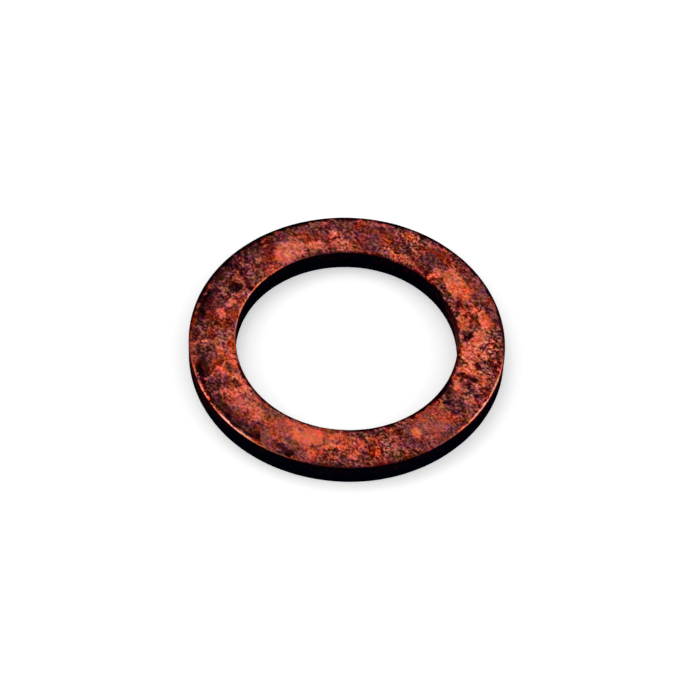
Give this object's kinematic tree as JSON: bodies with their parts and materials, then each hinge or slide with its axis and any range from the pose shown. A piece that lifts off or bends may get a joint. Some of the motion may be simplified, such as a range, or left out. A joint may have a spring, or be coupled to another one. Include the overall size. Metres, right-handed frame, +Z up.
{
  "type": "copper crush washer",
  "caption": "Flat annealed copper ring with softly rounded edges and a plain bore, which is crushed between a drain plug's head and its seat to seal the joint.",
  "frame": {"origin": "centre of the lower sealing face, on the bore's axis", "axes": "+Z up along the bore's axis, from the lower sealing face to the upper one; X and Y are free because the ring is round"},
  "size_m": [0.02, 0.02, 0.0016],
  "materials": {
    "copper": "heat-tarnished copper, mottled from bare copper to brown and near-black oxide, satin, with blackened walls"
  },
  "bodies": {
    "root": {"washer": "copper"}
  },
  "joints": []
}
